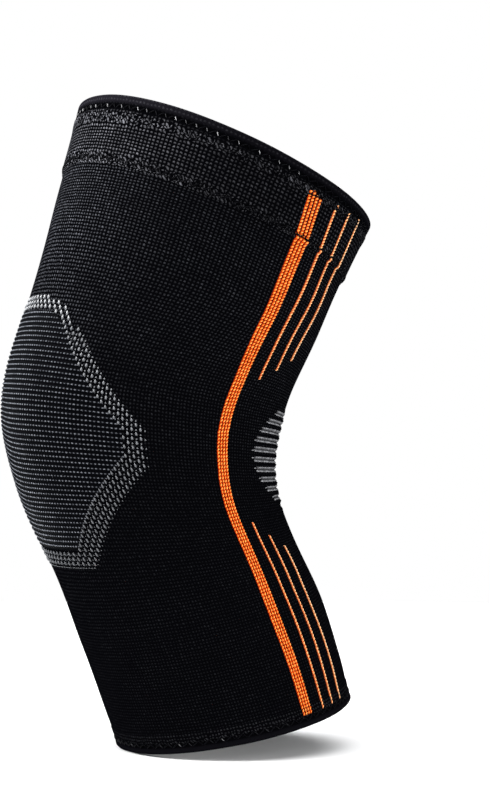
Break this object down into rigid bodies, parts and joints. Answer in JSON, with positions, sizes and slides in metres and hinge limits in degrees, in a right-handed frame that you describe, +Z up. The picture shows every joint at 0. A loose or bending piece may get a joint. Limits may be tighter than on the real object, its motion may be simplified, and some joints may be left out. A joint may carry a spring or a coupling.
{
  "type": "knee brace",
  "caption": "Knitted compression knee sleeve shaped to a bent knee, with a ribbed patella field, orange side stripes, stitched cuff and open rims.",
  "frame": {"origin": "middle of the knee's hinge axis, inside the sleeve, level with the back of the knee", "axes": "+Z up the thigh, -Y to the front of the knee, +X to the wearer's left; the sleeve is the same on both sides of the YZ plane"},
  "size_m": [0.1404, 0.1665, 0.2861],
  "materials": {
    "ground_knit": "matt black elastic knit",
    "cuff_knit": "matt black doubled knit",
    "elastic_band": "woven elastic",
    "silicone": "translucent grey silicone",
    "sewing_thread": "polyester thread with a slight shine",
    "grey_yarn": "fine ribs of grey yarn on black",
    "border_yarn": "raised light grey loops on black",
    "bar_yarn": "soft grey loops",
    "orange_yarn": "bright orange loops"
  },
  "bodies": {
    "thigh": {"thigh_knit": "ground_knit", "upper_cuff": "cuff_knit", "upper_grip_band": "elastic_band", "grip_strip_lower": "silicone", "grip_strip_upper": "silicone", "cuff_stitch_row_top": "sewing_thread", "cuff_stitch_row_bottom": "sewing_thread", "side_stripe_upper_left": "orange_yarn", "side_stripe_upper_right": "orange_yarn", "thin_line_upper_left_1": "orange_yarn", "thin_line_upper_left_2": "orange_yarn", "thin_line_upper_left_3": "orange_yarn", "thin_line_upper_right_1": "orange_yarn", "thin_line_upper_right_2": "orange_yarn", "thin_line_upper_right_3": "orange_yarn", "knee_knit_upper": "ground_knit", "knee_knit_middle": "ground_knit", "knee_knit_lower": "ground_knit", "patella_field": "grey_yarn", "patella_border": "border_yarn", "side_stripe_knee_left": "orange_yarn", "side_stripe_knee_right": "orange_yarn", "popliteal_bar_01": "bar_yarn", "popliteal_bar_02": "bar_yarn", "popliteal_bar_03": "bar_yarn", "popliteal_bar_04": "bar_yarn", "popliteal_bar_05": "bar_yarn", "popliteal_bar_06": "bar_yarn", "popliteal_bar_07": "bar_yarn", "popliteal_bar_08": "bar_yarn", "popliteal_bar_09": "bar_yarn", "popliteal_bar_10": "bar_yarn"},
    "calf": {"calf_knit": "ground_knit", "lower_hem": "cuff_knit", "hem_stitch_row": "sewing_thread", "side_stripe_lower_left": "orange_yarn", "side_stripe_lower_right": "orange_yarn", "thin_line_lower_left_1": "orange_yarn", "thin_line_lower_left_2": "orange_yarn", "thin_line_lower_left_3": "orange_yarn", "thin_line_lower_right_1": "orange_yarn", "thin_line_lower_right_2": "orange_yarn", "thin_line_lower_right_3": "orange_yarn"}
  },
  "joints": [
    {"name": "knee_flex", "type": "hinge", "parent": "thigh", "child": "calf", "pos_m": [0, 0, 0], "axis": [1, 0, 0], "range_deg": [-40, 75], "stiffness_Nm_per_rad": 0.5, "deforming": ["knee_knit_upper", "knee_knit_middle", "knee_knit_lower", "patella_field", "patella_border", "side_stripe_knee_left", "side_stripe_knee_right", "thin_line_upper_left_1", "thin_line_upper_left_2", "thin_line_upper_left_3", "thin_line_upper_right_1", "thin_line_upper_right_2", "thin_line_upper_right_3", "thin_line_lower_left_1", "thin_line_lower_left_2", "thin_line_lower_left_3", "thin_line_lower_right_1", "thin_line_lower_right_2", "thin_line_lower_right_3", "popliteal_bar_01", "popliteal_bar_02", "popliteal_bar_03", "popliteal_bar_04", "popliteal_bar_05", "popliteal_bar_06", "popliteal_bar_07", "popliteal_bar_08", "popliteal_bar_09", "popliteal_bar_10"]}
  ]
}
